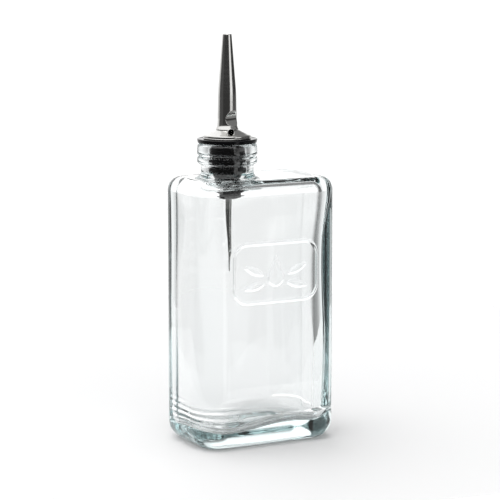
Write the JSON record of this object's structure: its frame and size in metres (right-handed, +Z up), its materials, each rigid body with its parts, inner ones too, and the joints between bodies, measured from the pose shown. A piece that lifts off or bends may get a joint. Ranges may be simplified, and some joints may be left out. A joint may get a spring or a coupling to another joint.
{
  "type": "glass oil bottle",
  "caption": "Rectangular clear glass oil or vinegar bottle with a ribbed black stopper and a polished steel pourer that lifts out and turns in it.",
  "frame": {"origin": "on the table, under the middle of the bottle's body", "axes": "+Z up along the bottle, +X along its wide side away from the neck, -Y out of the embossed front face"},
  "size_m": [0.072, 0.0473, 0.191],
  "materials": {
    "clear_glass": "clear pressed soda-lime glass, faintly blue-green at its edges",
    "black_rubber": "semi-gloss moulded black",
    "polished_steel": "polished stainless steel with fine turning marks"
  },
  "bodies": {
    "bottle": {"glass_bottle": "clear_glass"},
    "stopper": {"stopper": "black_rubber"},
    "pourer": {"domed_collar": "polished_steel", "pour_spout": "polished_steel", "breather_tube": "polished_steel"}
  },
  "joints": [
    {"name": "stopper_lift", "type": "slide", "parent": "bottle", "child": "stopper", "axis": [0, 0, 1], "range_m": [0, 0.075]},
    {"name": "spout_turn", "type": "hinge", "parent": "stopper", "child": "pourer", "pos_m": [-0.012, 0, 0.1412], "axis": [0, 0, 1], "continuous": true}
  ]
}
